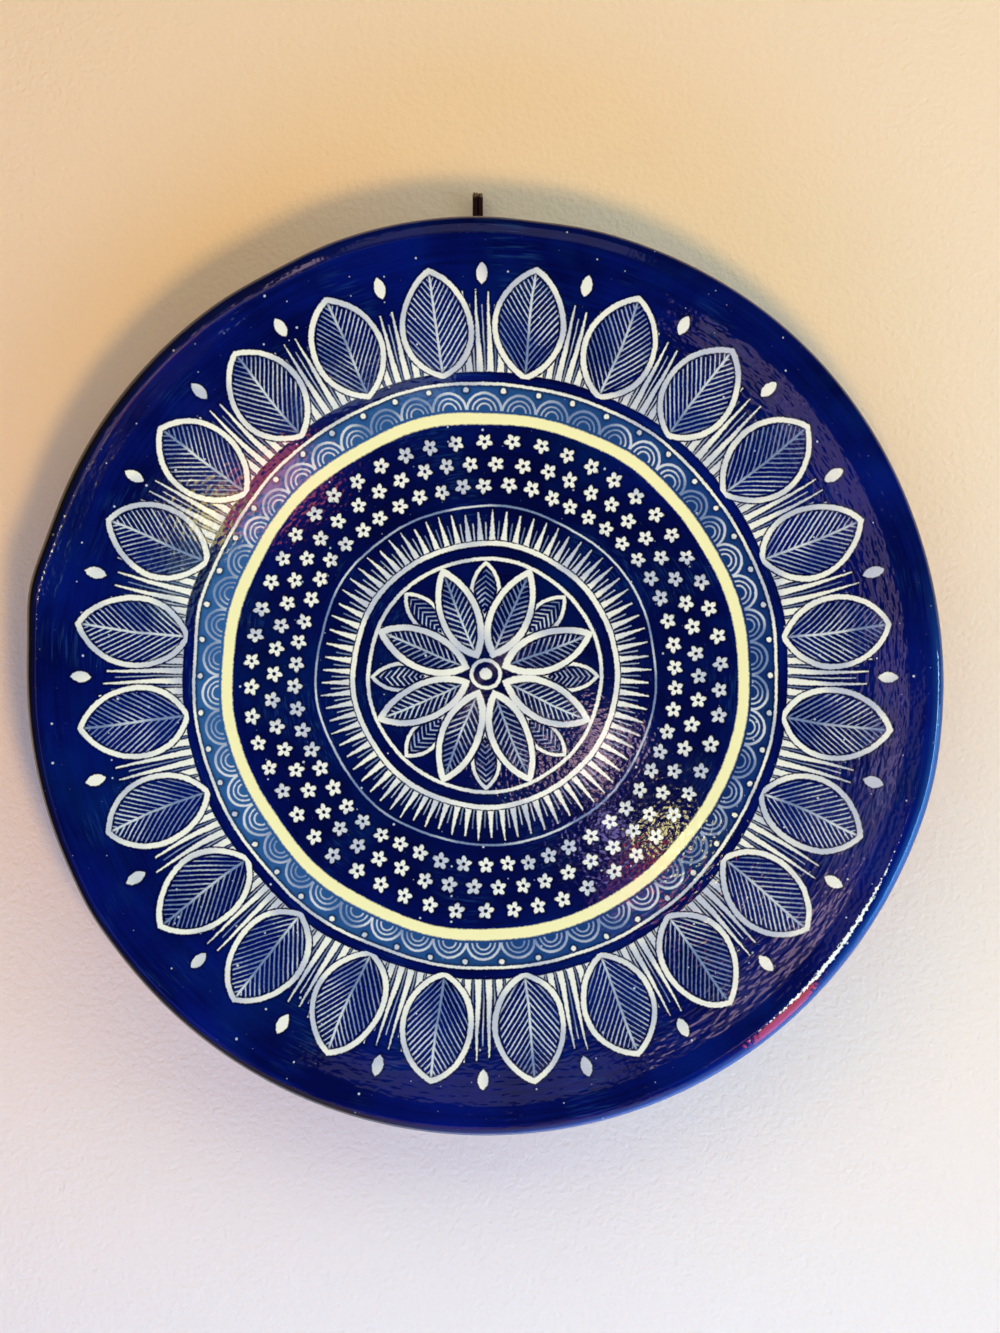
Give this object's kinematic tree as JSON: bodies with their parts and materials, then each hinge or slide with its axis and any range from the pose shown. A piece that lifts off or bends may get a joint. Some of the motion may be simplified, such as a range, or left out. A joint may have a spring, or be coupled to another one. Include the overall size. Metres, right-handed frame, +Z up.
{
  "type": "ceramic wall plate",
  "caption": "Round shallow earthenware dish with a rolled lip and a foot ring, decorated in cobalt slip, with a twisted iron wire for hanging it on a nail.",
  "frame": {"origin": "the point where a nail carries the hanging wire, in the crotch of its two legs", "axes": "+Z up as the plate hangs, +Y into the wall behind it, so the face looks along -Y; +X to the right as seen from the front"},
  "size_m": [0.3595, 0.0494, 0.373],
  "materials": {
    "cobalt_slip_earthenware": "glossy clear glaze over burnished cobalt slip, scratched through to cream",
    "iron_wire": "dark brown oxidised iron wire"
  },
  "bodies": {
    "root": {"plate": "cobalt_slip_earthenware", "hanging_wire": "iron_wire"}
  },
  "joints": []
}
